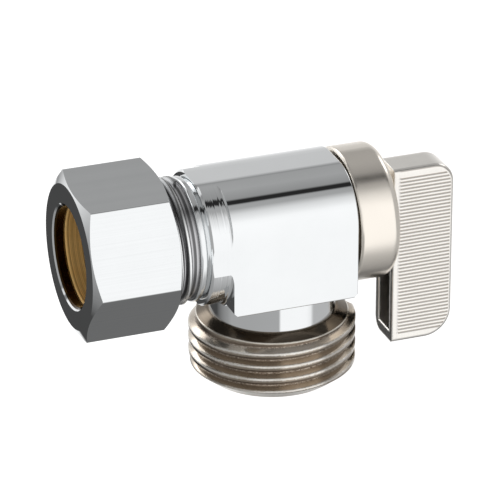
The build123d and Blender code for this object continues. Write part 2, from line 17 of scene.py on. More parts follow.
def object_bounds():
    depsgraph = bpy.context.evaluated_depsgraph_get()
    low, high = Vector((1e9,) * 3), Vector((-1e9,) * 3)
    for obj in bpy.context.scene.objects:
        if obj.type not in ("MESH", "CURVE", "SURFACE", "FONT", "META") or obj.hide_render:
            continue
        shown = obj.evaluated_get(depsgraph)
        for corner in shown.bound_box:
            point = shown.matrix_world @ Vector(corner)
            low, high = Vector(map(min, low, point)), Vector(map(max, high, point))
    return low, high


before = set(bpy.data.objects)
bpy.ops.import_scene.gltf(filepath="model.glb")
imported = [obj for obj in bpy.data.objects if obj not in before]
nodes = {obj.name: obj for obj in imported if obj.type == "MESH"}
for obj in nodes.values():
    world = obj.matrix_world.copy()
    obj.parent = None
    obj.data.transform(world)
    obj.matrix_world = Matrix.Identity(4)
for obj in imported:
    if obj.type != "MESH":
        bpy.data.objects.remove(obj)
cad_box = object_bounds()
MM = 0.001
scene = bpy.context.scene
scene.view_settings.view_transform = "Standard"
print("loaded", len(nodes), "nodes, box", [list(corner) for corner in cad_box])

# %% [markdown]
# ## The camera
# A product photographer stands well back with a long lens, so that parallel edges stay nearly
# parallel. The same is done here: a 288 mm lens at a little over 60 cm, aimed by an azimuth and an
# elevation. The camera's three axes are worked out from those two angles and put into its matrix.

# %% Camera at the photograph's angle
ball_centre = Vector((0, 0, 25 * MM))
camera_azimuth = math.radians(-20.591)
camera_elevation = math.radians(25.648)
camera_distance = 632.868 * MM
aim_right = 3.482 * MM
aim_up = 4.025 * MM

right = Vector((math.cos(camera_azimuth), math.sin(camera_azimuth), 0))
level_back = Vector((math.sin(camera_azimuth), -math.cos(camera_azimuth), 0))
back = level_back * math.cos(camera_elevation) + Vector((0, 0, math.sin(camera_elevation)))
up = back.cross(right)

camera_data = bpy.data.cameras.new("camera")
camera_data.sensor_width = 36
camera_data.lens = 288
camera_data.clip_end = 20
camera = bpy.data.objects.new("camera", camera_data)
scene.collection.objects.link(camera)
place = ball_centre - aim_right * right - aim_up * up + camera_distance * back
axes = Matrix((right, up, back)).transposed()
camera.matrix_world = Matrix.Translation(place) @ axes.to_4x4()
scene.camera = camera
print("camera at", [round(value / MM, 1) for value in place], "mm")

# %% [markdown]
# ## Four small tools
# Colours are written as the hex values that a colour picker shows, and shaders want linear light,
# so one function converts them. The second adds a node, sets it up and links it, which keeps every
# material below readable as a list of nodes. The third starts a material and the fourth fills a
# colour ramp. A Mix node has a pair of sockets for each kind of data, all with the same names, so
# they are picked by number, and the numbers get their names here.

# %% Colour and node helpers
FLOAT_A = 2
FLOAT_B = 3
FLOAT_RESULT = 0
VECTOR_A = 4
VECTOR_B = 5
VECTOR_RESULT = 1
COLOUR_A = 6
COLOUR_B = 7
COLOUR_RESULT = 2
WHITE = (1, 1, 1, 1)


def linear(hex_colour):
    """An sRGB hex colour as linear red, green, blue and full alpha."""
    channels = []
    for start in (0, 2, 4):
        value = int(hex_colour[start:start + 2], 16) / 255
        channels.append(value / 12.92 if value <= 0.04045 else ((value + 0.055) / 1.055) ** 2.4)
    return (*channels, 1.0)


def add_node(tree, kind, settings=None, values=None, links=None):
    """Adds a node: settings are its properties, values its open sockets, links what feeds the others."""
    made = tree.nodes.new(kind)
    for name, value in (settings or {}).items():
        setattr(made, name, value)
    for name, value in (values or {}).items():
        made.inputs[name].default_value = value
    for name, source in (links or {}).items():
        tree.links.new(source, made.inputs[name])
    return made


def new_material(name):
    """An empty node material with its output and its main shader."""
    material = bpy.data.materials.new(name)
    material.use_nodes = True
    tree = material.node_tree
    tree.nodes.clear()
    shader = add_node(tree, "ShaderNodeBsdfPrincipled")
    add_node(tree, "ShaderNodeOutputMaterial", links={"Surface": shader.outputs["BSDF"]})
    return material, tree, shader


def fill_ramp(ramp, stops):
    """Gives a colour ramp its stops: places from 0 to 1 and linear colours."""
    elements = ramp.color_ramp.elements
    while len(elements) < len(stops):
        elements.new(0.5)
    for element, (place, colour) in zip(elements, stops):
        element.position = place
        element.color = colour


print("middle grey in linear light", round(linear("808080")[0], 3))

# %% [markdown]
# ## The room
# The front of the valve mirrors a broad white screen, the top a grey ceiling that ends at a black
# flag, the faces that look down a grey floor, and those that look left a dark corner of the studio.
# Boxes and cards could make such a room, but the world shader can do it with no geometry: the
# direction of a ray is turned into an angle around the pipe's axis, and two colour ramps say how
# bright the room is at that angle, one for the left half of the room and one for the right. The
# levels were set one by one: render, compare the bands on the chrome with the photograph, change a
# level and render again.

# %% The room's levels
# Degrees from straight up, positive towards the front; then how bright the room is there
room_right = [
    # Floor behind the valve
    (-180, 0.28), (-168, 0.14), (-150, 0.25),
    # Back wall
    (-125, 0.95), (-110, 1.0), (-78, 0.62), (-61, 0.55),
    # Ceiling
    (-55, 0.27), (-49, 0.34), (-21, 0.36), (4, 0.28),
    # Black flag
    (8, 0.02), (16, 0.02),
    # White screen in front
    (19, 0.35), (28, 0.37), (40, 0.7), (58, 0.97), (66, 1.0), (125, 0.97),
    # Floor in front
    (146, 0.48), (180, 0.28),
]
room_left = [
    # Floor behind the valve
    (-180, 0.3), (-165, 0.3),
    # Dark corner
    (-150, 0.06), (-108, 0.06),
    # Low strip light
    (-98, 0.7), (-90, 0.95), (-60, 0.95), (-54, 0.2),
    # High strip light
    (-48, 0.2), (-45, 1.0), (-35, 1.0), (-32, 0.12),
    # Ceiling
    (-26, 0.12), (-22, 0.3), (4, 0.28),
    # Black flag
    (8, 0.02), (16, 0.02),
    # White screen in front
    (19, 0.35), (34, 0.5), (47, 0.86), (100, 0.9),
    # Floor in front
    (108, 0.4), (180, 0.3),
]
print("room drawn with", len(room_left) + len(room_right), "levels")

# %% The two halves of the room
# How far to the right a ray points where the left half starts to fade, and where the right half is all
left_half_end = -0.14
right_half_start = -0.06

world = bpy.data.worlds.new("studio")
world.use_nodes = True
scene.world = world
room = world.node_tree
room.nodes.clear()
direction = add_node(room, "ShaderNodeTexCoord").outputs["Generated"]
parts = add_node(room, "ShaderNodeSeparateXYZ", links={"Vector": direction})
rightward = parts.outputs["X"]
forward = add_node(room, "ShaderNodeMath", {"operation": "MULTIPLY"}, {1: -1}, {0: parts.outputs["Y"]})
angle = add_node(
    room,
    "ShaderNodeMath",
    {"operation": "ARCTAN2"},
    links={0: forward.outputs[0], 1: parts.outputs["Z"]},
)
turn = add_node(
    room,
    "ShaderNodeMapRange",
    values={"From Min": -math.pi, "From Max": math.pi},
    links={"Value": angle.outputs[0]},
)
halves = []
for levels in (room_left, room_right):
    ramp = add_node(room, "ShaderNodeValToRGB", links={"Fac": turn.outputs["Result"]})
    fill_ramp(ramp, [((degrees + 180) / 360, (level, level, level, 1)) for degrees, level in levels])
    halves.append(ramp.outputs["Color"])
half = add_node(
    room,
    "ShaderNodeMapRange",
    {"interpolation_type": "SMOOTHSTEP"},
    {"From Min": left_half_end, "From Max": right_half_start},
    {"Value": rightward},
)
both = add_node(
    room,
    "ShaderNodeMix",
    {"data_type": "RGBA"},
    links={"Factor": half.outputs["Result"], COLOUR_A: halves[0], COLOUR_B: halves[1]},
)
print("the room turns about the pipe's axis, in", len(halves), "halves")

# %% [markdown]
# An angle about one axis says nothing of the room's two ends, where all angles meet in a point. A
# grey wall closes each end: a third ramp holds its brightness in its colour, and how much of it is
# seen in its alpha.

# %% Side walls
# How far to the right, then how bright the side wall is there and how much of it is seen
room_sides = [(-0.95, 0.38, 1.0), (-0.6, 0.38, 0.0), (0.72, 0.46, 0.0), (0.775, 0.46, 1.0)]
across = add_node(
    room, "ShaderNodeMapRange", values={"From Min": -1, "From Max": 1}, links={"Value": rightward}
)
walls = add_node(room, "ShaderNodeValToRGB", links={"Fac": across.outputs["Result"]})
fill_ramp(walls, [((side + 1) / 2, (level, level, level, share)) for side, level, share in room_sides])
whole = add_node(
    room,
    "ShaderNodeMix",
    {"data_type": "RGBA"},
    links={
        "Factor": walls.outputs["Alpha"],
        COLOUR_A: both.outputs[COLOUR_RESULT],
        COLOUR_B: walls.outputs["Color"],
    },
)
print("side walls", room_sides[0][1], "and", room_sides[-1][1], "bright")

# %% [markdown]
# Two soft boxes hang high behind the valve. They brighten the left side of the hose thread, the
# turned neck and the rounds of the handle. Each is a round patch of the room: the dot product of the
# ray with the box's own direction is the cosine of the angle between them, and a smooth step turns
# that into a disc with a soft rim.

# %% Soft boxes
# Where each hangs, half its width in degrees and how bright it is; then how much of it is fully bright
soft_boxes = [((-0.30, 0.80, 0.52), 15, 1.4), ((0.75, 0.40, 0.52), 15, 1.4)]
bright_share = 0.7

for aim, half_width, level in soft_boxes:
    facing = add_node(
        room,
        "ShaderNodeVectorMath",
        {"operation": "DOT_PRODUCT"},
        {1: Vector(aim).normalized()},
        {0: direction},
    )
    card = add_node(
        room,
        "ShaderNodeMapRange",
        {"interpolation_type": "SMOOTHSTEP"},
        {
            "From Min": math.cos(math.radians(half_width)),
            "From Max": math.cos(math.radians(bright_share * half_width)),
            "To Max": level,
        },
        {"Value": facing.outputs["Value"]},
    )
    whole = add_node(
        room,
        "ShaderNodeMix",
        {"data_type": "RGBA", "blend_type": "ADD"},
        {"Factor": 1},
        {COLOUR_A: whole.outputs[COLOUR_RESULT], COLOUR_B: card.outputs["Result"]},
    )
print("hung", len(soft_boxes), "soft boxes")

# %% [markdown]
# The photograph is cut out on white. The Light Path node tells camera rays from the others, so the
# camera sees plain white past the valve while the metal still mirrors the room. White could be given
# to the mirror rays too, but polished chrome would then lose all its bands.

# %% White past the valve
room_strength = 1.05
rays = add_node(room, "ShaderNodeLightPath")
seen = add_node(
    room,
    "ShaderNodeMix",
    {"data_type": "RGBA"},
    {COLOUR_B: WHITE},
    {"Factor": rays.outputs["Is Camera Ray"], COLOUR_A: whole.outputs[COLOUR_RESULT]},
)
light = add_node(
    room,
    "ShaderNodeBackground",
    values={"Strength": room_strength},
    links={"Color": seen.outputs[COLOUR_RESULT]},
)
add_node(room, "ShaderNodeOutputWorld", links={"Surface": light.outputs["Background"]})
print("room strength", room_strength)

# %% [markdown]
# The pipe hole is too deep for the room's light, so one small lamp looks into it from the front left.
# It is hidden from glossy rays: it lights the dull brass in the hole and leaves the chrome alone.

# %% A lamp for the pipe hole
inlet_end_x = cad_box[0][0]
hole_centre = Vector((inlet_end_x, 0, ball_centre.z))
lamp_reach = Vector((-170, -100, 45)) * MM
lamp_light = bpy.data.lights.new("hole_lamp", "AREA")
lamp_light.size = 60 * MM
lamp_light.energy = 0.25
lamp = bpy.data.objects.new("hole_lamp", lamp_light)
lamp.location = hole_centre + lamp_reach
lamp.rotation_euler = lamp_reach.to_track_quat("Z", "Y").to_euler()
lamp.visible_glossy = False
scene.collection.objects.link(lamp)
print("hole lamp", lamp_light.energy, "W")

# %% [markdown]
# ## The floor
# The valve stands on a white sweep. It is white to the camera and takes only a breath of shadow, and
# it is left out of mirror reflections because the room above already says what lies below.

# %% Floor
floor_half = 4.0
floor_mesh = bpy.data.meshes.new("floor")
shape = bmesh.new()
bmesh.ops.create_grid(shape, x_segments=1, y_segments=1, size=floor_half)
shape.to_mesh(floor_mesh)
shape.free()
floor = bpy.data.objects.new("floor", floor_mesh)
scene.collection.objects.link(floor)
floor.visible_glossy = False
print("floor", 2 * floor_half, "m wide")

# %% White paper on the floor
paper_colour = "C8C8C8"
paper_glow = 0.85
floor_finish = bpy.data.materials.new("white_sweep")
floor_finish.use_nodes = True
sweep = floor_finish.node_tree
sweep.nodes.clear()
paper = add_node(sweep, "ShaderNodeBsdfDiffuse", values={"Color": linear(paper_colour)})
floor_rays = add_node(sweep, "ShaderNodeLightPath")
glow_strength = add_node(
    sweep,
    "ShaderNodeMath",
    {"operation": "MULTIPLY"},
    {1: paper_glow},
    {0: floor_rays.outputs["Is Camera Ray"]},
)
glow = add_node(
    sweep, "ShaderNodeEmission", values={"Color": WHITE}, links={"Strength": glow_strength.outputs[0]}
)
mixed = add_node(
    sweep, "ShaderNodeAddShader", links={0: paper.outputs["BSDF"], 1: glow.outputs["Emission"]}
)
add_node(sweep, "ShaderNodeOutputMaterial", links={"Surface": mixed.outputs["Shader"]})
floor_mesh.materials.append(floor_finish)
print("paper glows by", paper_glow, "to the camera")

# %% [markdown]
# ## Metal, and what a tool leaves on it
# Every metal here is the same shader with three things on top: a faint cloudiness of the polish,
# which is a slow noise in the roughness; an unevenness of the plating, which is a slow noise in the
# bump; and the fine lines that a lathe or a drawing die leaves, which is a noise stretched until it
# only changes along one axis. Sizes are given in millimetres, as they would be measured on the part.
# Real tool lines are often finer than 0.1 mm, and a pixel of the render covers about 0.16 mm, so the
# lines are drawn a few times coarser than real, or they would not show.

# %% A metal finish from real sizes
# The noise keeps near one half, so the middle of its range is spread out
cloud_range = (0.3, 0.7)
line_range = (0.35, 0.65)


def metal(name, colour, shade, rough, polish_mm, ripple, lines, streak):
    """A metal. rough is (least, most), ripple (size mm, height mm), lines (axis, pitch mm, height mm)."""
    material, tree, shader = new_material(name)
    shader.inputs["Metallic"].default_value = 1
    where = add_node(tree, "ShaderNodeTexCoord").outputs["Object"]
    cloud = add_node(
        tree,
        "ShaderNodeTexNoise",
        values={"Scale": 1 / (polish_mm * MM), "Detail": 4},
        links={"Vector": where},
    )
    roughness = add_node(
        tree,
        "ShaderNodeMapRange",
        values={
            "From Min": cloud_range[0],
            "From Max": cloud_range[1],
            "To Min": rough[0],
            "To Max": rough[1],
        },
        links={"Value": cloud.outputs["Fac"]},
    )
    tree.links.new(roughness.outputs["Result"], shader.inputs["Roughness"])
    axis, pitch_mm, line_height = lines
    stretch = [0.0, 0.0, 0.0]
    stretch["XYZ".index(axis)] = 1 / (pitch_mm * MM)
    along = add_node(tree, "ShaderNodeMapping", values={"Scale": stretch}, links={"Vector": where})
    tool = add_node(
        tree,
        "ShaderNodeTexNoise",
        values={"Scale": 1, "Detail": 3},
        links={"Vector": along.outputs["Vector"]},
    )
    tint = add_node(
        tree,
        "ShaderNodeMix",
        {"data_type": "RGBA"},
        {COLOUR_A: linear(colour), COLOUR_B: linear(shade)},
        {"Factor": cloud.outputs["Fac"]},
    )
    marks = add_node(
        tree,
        "ShaderNodeMapRange",
        values={
            "From Min": line_range[0],
            "From Max": line_range[1],
            "To Min": 1 - streak,
            "To Max": 1,
        },
        links={"Value": tool.outputs["Fac"]},
    )
    streaked = add_node(
        tree,
        "ShaderNodeMix",
        {"data_type": "RGBA", "blend_type": "MULTIPLY"},
        {"Factor": 1},
        {COLOUR_A: tint.outputs[COLOUR_RESULT], COLOUR_B: marks.outputs["Result"]},
    )
    tree.links.new(streaked.outputs[COLOUR_RESULT], shader.inputs["Base Color"])
    ripple_mm, ripple_height = ripple
    waves = add_node(
        tree,
        "ShaderNodeTexNoise",
        values={"Scale": 1 / (ripple_mm * MM), "Detail": 2},
        links={"Vector": where},
    )
    bump = add_node(
        tree,
        "ShaderNodeBump",
        values={"Strength": 1, "Distance": ripple_height * MM},
        links={"Height": waves.outputs["Fac"]},
    )
    tool_bump = add_node(
        tree,
        "ShaderNodeBump",
        values={"Strength": 1, "Distance": line_height * MM},
        links={"Height": tool.outputs["Fac"], "Normal": bump.outputs["Normal"]},
    )
    tree.links.new(tool_bump.outputs["Normal"], shader.inputs["Normal"])
    return SimpleNamespace(
        material=material,
        tree=tree,
        shader=shader,
        where=where,
        colour=streaked.outputs[COLOUR_RESULT],
        roughness=roughness.outputs["Result"],
        normal=bump.inputs["Normal"],
    )


print("metals share one recipe")

# %% [markdown]
# Several masks below need the distance of a point from the pipe's axis. Three vector nodes give it:
# subtract a point on the axis, drop the part along the axis, and take the length of what is left.

# %% Distance from the pipe's axis
across_pipe = (0, 1, 1)


def distance_from_pipe_axis(tree, where):
    """How far a point is from the pipe's axis."""
    from_ball = add_node(
        tree, "ShaderNodeVectorMath", {"operation": "SUBTRACT"}, {1: tuple(ball_centre)}, {0: where}
    )
    flat = add_node(
        tree,
        "ShaderNodeVectorMath",
        {"operation": "MULTIPLY"},
        {1: across_pipe},
        {0: from_ball.outputs["Vector"]},
    )
    reach = add_node(
        tree, "ShaderNodeVectorMath", {"operation": "LENGTH"}, links={0: flat.outputs["Vector"]}
    )
    return reach.outputs["Value"]


print("pipe's axis at z =", round(ball_centre.z / MM, 1), "mm")

# %% [markdown]
# ## Chrome on the body and the nut
# Bright chrome over polished brass: nearly white, and nearly a perfect mirror, so the eye gets the
# room's bands with crisp edges. Only the outside is plated, so inside the pipe hole the bare brass
# shows, and in the nut's bore the brass is painted dark brown as painted shade, where little light
# reaches. A mask on the distance from the pipe's axis switches the colour there. The nut's flats keep
# the fine lines of the drawn bar it was cut from.

# %% Chrome materials
chrome_colour = "F6F8F9"
chrome_shade = "EFF1F2"
brass_colour = "F4DBB0"
# Painted shade: the nut's bore is painted dark brown, where little light reaches
shaded_brass_colour = "3E2D16"
body_bore_radius = 8.9
nut_bore_radius = 8.3
chromes = {}
for piece, bore_radius, bore_brass_and_shade_colour, lines, streak in (
    ("valve_body", body_bore_radius, brass_colour, ("X", 0.3, 0.0), 0.0),
    ("compression_nut", nut_bore_radius, shaded_brass_colour, ("Z", 0.35, 0.0002), 0.04),
):
    finish = metal(
        "chrome_on_" + piece,
        chrome_colour,
        chrome_shade,
        rough=(0.02, 0.05),
        polish_mm=7,
        ripple=(3, 0.002),
        lines=lines,
        streak=streak,
    )
    reach = distance_from_pipe_axis(finish.tree, finish.where)
    inside = add_node(
        finish.tree, "ShaderNodeMath", {"operation": "LESS_THAN"}, {1: bore_radius * MM}, {0: reach}
    )
    plated = add_node(
        finish.tree,
        "ShaderNodeMix",
        {"data_type": "RGBA"},
        {COLOUR_B: linear(bore_brass_and_shade_colour)},
        {"Factor": inside.outputs[0], COLOUR_A: finish.colour},
    )
    finish.colour = plated.outputs[COLOUR_RESULT]
    finish.tree.links.new(finish.colour, finish.shader.inputs["Base Color"])
    finish.reach = reach
    nodes[piece].material_slots[0].material = finish.material
    chromes[piece] = finish
print("chromed", sorted(chromes))

# %% [markdown]
# The body's inlet end was turned on a lathe. The tool leaves rings that tilt the surface a little up
# or down, so what the neck mirrors is torn into a jagged edge: a noise that changes only along the
# pipe's axis is added to the surface normal.

# %% Rings on the turned neck
neck_start_x = -10.4
ring_pitch = 0.25
ring_tilt = 0.13
body = chromes["valve_body"]
tree = body.tree
spread = add_node(tree, "ShaderNodeSeparateXYZ", links={"Vector": body.where})
along_pipe = spread.outputs["X"]
on_neck = add_node(
    tree, "ShaderNodeMath", {"operation": "LESS_THAN"}, {1: neck_start_x * MM}, {0: along_pipe}
)
rings = add_node(
    tree,
    "ShaderNodeTexNoise",
    {"noise_dimensions": "1D"},
    {"Scale": 1 / (ring_pitch * MM), "Detail": 1},
    {"W": along_pipe},
)
tilt = add_node(
    tree,
    "ShaderNodeMapRange",
    {"clamp": False},
    {"From Min": 0, "From Max": 1, "To Min": -ring_tilt, "To Max": ring_tilt},
    {"Value": rings.outputs["Fac"]},
)
neck_tilt = add_node(
    tree,
    "ShaderNodeMath",
    {"operation": "MULTIPLY"},
    links={0: tilt.outputs["Result"], 1: on_neck.outputs[0]},
)
lean = add_node(tree, "ShaderNodeCombineXYZ", links={"Z": neck_tilt.outputs[0]})
face = add_node(tree, "ShaderNodeNewGeometry")
leaning = add_node(
    tree,
    "ShaderNodeVectorMath",
    {"operation": "ADD"},
    links={0: face.outputs["Normal"], 1: lean.outputs["Vector"]},
)
turned = add_node(
    tree, "ShaderNodeVectorMath", {"operation": "NORMALIZE"}, links={0: leaning.outputs["Vector"]}
)
tree.links.new(turned.outputs["Vector"], body.normal)
print("turned end starts at x =", neck_start_x, "mm")

# %% [markdown]
# The thread beyond the neck is dull, and painted darker between its crests than on them, as painted
# shade in the roots. A ramp on the distance from the axis paints that, and a second noise along the
# axis adds the cutter's dark lines.

# %% The inlet thread
thread_start_x = -15.45
thread_root_radius = 9.3
thread_crest_radius = 10.3
# Painted shade: darker towards the thread's roots, lighter on its crests
thread_shade_colours = [(0.0, "C8C8CA"), (0.6, "EAEBEC"), (0.85, "FCFDFD")]
thread_roughness = 0.3
cutter_pitch = 0.5
cutter_range = (0.4, 0.6)
cutter_shade = 0.25
on_thread = add_node(
    tree, "ShaderNodeMath", {"operation": "LESS_THAN"}, {1: thread_start_x * MM}, {0: along_pipe}
)
thread_height = add_node(
    tree,
    "ShaderNodeMapRange",
    values={"From Min": thread_root_radius * MM, "From Max": thread_crest_radius * MM},
    links={"Value": body.reach},
)
thread_shade = add_node(tree, "ShaderNodeValToRGB", links={"Fac": thread_height.outputs["Result"]})
fill_ramp(thread_shade, [(height, linear(colour)) for height, colour in thread_shade_colours])
cutter = add_node(
    tree,
    "ShaderNodeTexNoise",
    {"noise_dimensions": "1D"},
    {"Scale": 1 / (cutter_pitch * MM), "Detail": 1},
    {"W": along_pipe},
)
cuts = add_node(
    tree,
    "ShaderNodeMapRange",
    values={
        "From Min": cutter_range[0],
        "From Max": cutter_range[1],
        "To Min": cutter_shade,
        "To Max": 1,
    },
    links={"Value": cutter.outputs["Fac"]},
)
thread_cut = add_node(
    tree,
    "ShaderNodeMix",
    {"data_type": "RGBA", "blend_type": "MULTIPLY"},
    {"Factor": 1},
    {COLOUR_A: thread_shade.outputs["Color"], COLOUR_B: cuts.outputs["Result"]},
)
print("inlet thread starts at x =", thread_start_x, "mm")

# %% Dull thread on the bright body
outside = add_node(
    tree, "ShaderNodeMath", {"operation": "GREATER_THAN"}, {1: body_bore_radius * MM}, {0: body.reach}
)
dull = add_node(
    tree,
    "ShaderNodeMath",
    {"operation": "MULTIPLY"},
    links={0: on_thread.outputs[0], 1: outside.outputs[0]},
)
threaded = add_node(
    tree,
    "ShaderNodeMix",
    {"data_type": "RGBA"},
    links={
        "Factor": dull.outputs[0],
        COLOUR_A: body.colour,
        COLOUR_B: thread_cut.outputs[COLOUR_RESULT],
    },
)
tree.links.new(threaded.outputs[COLOUR_RESULT], body.shader.inputs["Base Color"])
matt = add_node(
    tree,
    "ShaderNodeMix",
    values={FLOAT_B: thread_roughness},
    links={"Factor": dull.outputs[0], FLOAT_A: body.roughness},
)
tree.links.new(matt.outputs[FLOAT_RESULT], body.shader.inputs["Roughness"])
print("inlet thread roughness", thread_roughness)

# %% [markdown]
# ## Nickel on the nipple
# Nickel plate over turned brass: warmer and duller than chrome, so the eye gets a soft brownish
# gleam. The thread is a dull brownish tarnish with painted shade, darkest in the roots and on the
# lower flanks, an upper flank painted lighter, and a painted highlight along the upper edge of each
# crest. To paint along a thread, unwind it: take the height, and subtract the climb that the angle
# round the axis gives. What is left, wrapped to one pitch, says where on the ridge a point is, and a
# colour ramp does the rest. A little noise makes the painted highlight ragged.

# %% Unwind the hose thread
hose_pitch = 2.209
crest_z = 9.087
pitch_bottom = (crest_z - hose_pitch / 2) * MM
pitch_top = (crest_z + hose_pitch / 2) * MM
grit_size = 0.2
ragged_reach = 0.2
grit_range = (0.2, 0.8)
nipple = metal(
    "nickel_turned",
    "FFFFFF",
    "E4E0DA",
    rough=(0.12, 0.2),
    polish_mm=3,
    ripple=(1.5, 0.003),
    lines=("Z", 0.2, 0.0012),
    streak=0.12,
)
tree = nipple.tree
spread = add_node(tree, "ShaderNodeSeparateXYZ", links={"Vector": nipple.where})
height = spread.outputs["Z"]
around = add_node(
    tree,
    "ShaderNodeMath",
    {"operation": "ARCTAN2"},
    links={0: spread.outputs["Y"], 1: spread.outputs["X"]},
)
climb = add_node(
    tree,
    "ShaderNodeMath",
    {"operation": "MULTIPLY"},
    {1: -hose_pitch * MM / (2 * math.pi)},
    {0: around.outputs[0]},
)
unwound = add_node(
    tree, "ShaderNodeMath", {"operation": "ADD"}, links={0: height, 1: climb.outputs[0]}
)
grit = add_node(
    tree,
    "ShaderNodeTexNoise",
    values={"Scale": 1 / (grit_size * MM), "Detail": 2},
    links={"Vector": nipple.where},
)
shake = add_node(
    tree,
    "ShaderNodeMapRange",
    values={
        "From Min": grit_range[0],
        "From Max": grit_range[1],
        "To Min": -ragged_reach * MM,
        "To Max": ragged_reach * MM,
    },
    links={"Value": grit.outputs["Fac"]},
)
ragged = add_node(
    tree,
    "ShaderNodeMath",
    {"operation": "ADD"},
    links={0: unwound.outputs[0], 1: shake.outputs["Result"]},
)
in_pitch = add_node(
    tree, "ShaderNodeMath", {"operation": "WRAP"}, {1: pitch_top, 2: pitch_bottom}, {0: ragged.outputs[0]}
)
print("hose thread unwound at a pitch of", hose_pitch, "mm")

# %% Colours along the thread
# Painted shade in the roots and a painted highlight along each crest, over a brownish tarnish
root_tarnish_and_shade_colour = "85776A"
crest_highlight_colour = "FDFAF5"
ridge_tarnish_shade_and_highlight_colours = [
    # Root and lower flank: brownish tarnish with painted shade
    (0.0, root_tarnish_and_shade_colour), (0.06, root_tarnish_and_shade_colour), (0.2, "B8AC9E"), (0.5, "C2B6A8"),
    # Painted highlight along the upper edge of the crest
    (0.55, crest_highlight_colour), (0.65, crest_highlight_colour),
    # Upper flank, painted lighter, and the next root in painted shade
    (0.69, "E6DDD1"), (0.9, "D6CBBE"), (0.95, root_tarnish_and_shade_colour),
]
pitch_share = add_node(
    tree,
    "ShaderNodeMapRange",
    values={"From Min": pitch_bottom, "From Max": pitch_top},
    links={"Value": in_pitch.outputs[0]},
)
ridge_shade = add_node(tree, "ShaderNodeValToRGB", links={"Fac": pitch_share.outputs["Result"]})
fill_ramp(ridge_shade, [(share, linear(colour)) for share, colour in ridge_tarnish_shade_and_highlight_colours])
print("thread painted with", len(ridge_tarnish_shade_and_highlight_colours), "stops")

# %% [markdown]
# The cone above the thread is painted dark as painted shade under the body, with a painted highlight
# on a rim where it meets the thread, and a painted highlight again on the chamfer at the end. Masks on
# the height pick out the three. The edges are worn: they could be rounded in the mesh, but a Bevel
# node bends the normal near an edge and leaves the solid alone.

# %% Cone, rim and end of the nipple
# Painted shade on the cone under the body; painted highlight on the rim and on the end chamfer
cone_shade_colour = "7C7266"
edge_highlight_colour = "F0ECE4"
cone_start_z = 10.1
cone_full_z = 10.16
rim_z = 10.04
rim_half_width = 0.09
end_chamfer_z = 1.8
worn_radius = 0.6
worn_samples = 10
on_cone = add_node(
    tree,
    "ShaderNodeMapRange",
    values={"From Min": cone_start_z * MM, "From Max": cone_full_z * MM},
    links={"Value": height},
)
coned = add_node(
    tree,
    "ShaderNodeMix",
    {"data_type": "RGBA"},
    {COLOUR_B: linear(cone_shade_colour)},
    {"Factor": on_cone.outputs["Result"], COLOUR_A: ridge_shade.outputs["Color"]},
)
at_rim = add_node(
    tree, "ShaderNodeMath", {"operation": "COMPARE"}, {1: rim_z * MM, 2: rim_half_width * MM}, {0: height}
)
at_end = add_node(
    tree, "ShaderNodeMath", {"operation": "LESS_THAN"}, {1: end_chamfer_z * MM}, {0: height}
)
painted_highlight = add_node(
    tree,
    "ShaderNodeMath",
    {"operation": "MAXIMUM"},
    links={0: at_rim.outputs[0], 1: at_end.outputs[0]},
)
bright = add_node(
    tree,
    "ShaderNodeMix",
    {"data_type": "RGBA"},
    {COLOUR_B: linear(edge_highlight_colour)},
    {"Factor": painted_highlight.outputs[0], COLOUR_A: coned.outputs[COLOUR_RESULT]},
)
clouded = add_node(
    tree,
    "ShaderNodeMix",
    {"data_type": "RGBA", "blend_type": "MULTIPLY"},
    {"Factor": 1},
    {COLOUR_A: bright.outputs[COLOUR_RESULT], COLOUR_B: nipple.colour},
)
tree.links.new(clouded.outputs[COLOUR_RESULT], nipple.shader.inputs["Base Color"])
worn_edge = add_node(tree, "ShaderNodeBevel", {"samples": worn_samples}, {"Radius": worn_radius * MM})
tree.links.new(worn_edge.outputs["Normal"], nipple.normal)
for piece in ("hose_nipple", "bonnet"):
    nodes[piece].material_slots[0].material = nipple.material
print("nickel on the nipple and the bonnet")

# %% [markdown]
# ## Satin nickel on the handle
# The handle is a plated zinc casting with a satin finish, so the eye gets a soft, slightly cream
# sheen and no sharp image of the room. The fine grooves of the grip get painted shade: a mask on the
# distance from the paddle's middle plane finds their floors and paints them darker. The collar is a
# touch warmer than the paddle.

# %% Grip and collar colours
# Painted shade on the floors of the grip's grooves
groove_shade_colour = "CFC9C2"
collar_colour = "FCF5EB"
groove_floor_y = 3.37
groove_floor_margin = 0.045
grip_x = 24.9
grip_half_width = 4.4
collar_end_x = 19.3
handle = metal(
    "nickel_satin",
    "FEFBF6",
    "F9F5EF",
    rough=(0.17, 0.26),
    polish_mm=4,
    ripple=(0.8, 0.002),
    lines=("X", 0.3, 0.0002),
    streak=0.03,
)
tree = handle.tree
spread = add_node(tree, "ShaderNodeSeparateXYZ", links={"Vector": handle.where})
off_middle = add_node(tree, "ShaderNodeMath", {"operation": "ABSOLUTE"}, links={0: spread.outputs["Y"]})
sunk = add_node(
    tree,
    "ShaderNodeMath",
    {"operation": "COMPARE"},
    {1: groove_floor_y * MM, 2: groove_floor_margin * MM},
    {0: off_middle.outputs[0]},
)
on_grip = add_node(
    tree,
    "ShaderNodeMath",
    {"operation": "COMPARE"},
    {1: grip_x * MM, 2: grip_half_width * MM},
    {0: spread.outputs["X"]},
)
groove = add_node(
    tree, "ShaderNodeMath", {"operation": "MULTIPLY"}, links={0: sunk.outputs[0], 1: on_grip.outputs[0]}
)
groove_shaded = add_node(
    tree,
    "ShaderNodeMix",
    {"data_type": "RGBA"},
    {COLOUR_B: linear(groove_shade_colour)},
    {"Factor": groove.outputs[0], COLOUR_A: handle.colour},
)
on_collar = add_node(
    tree, "ShaderNodeMath", {"operation": "LESS_THAN"}, {1: collar_end_x * MM}, {0: spread.outputs["X"]}
)
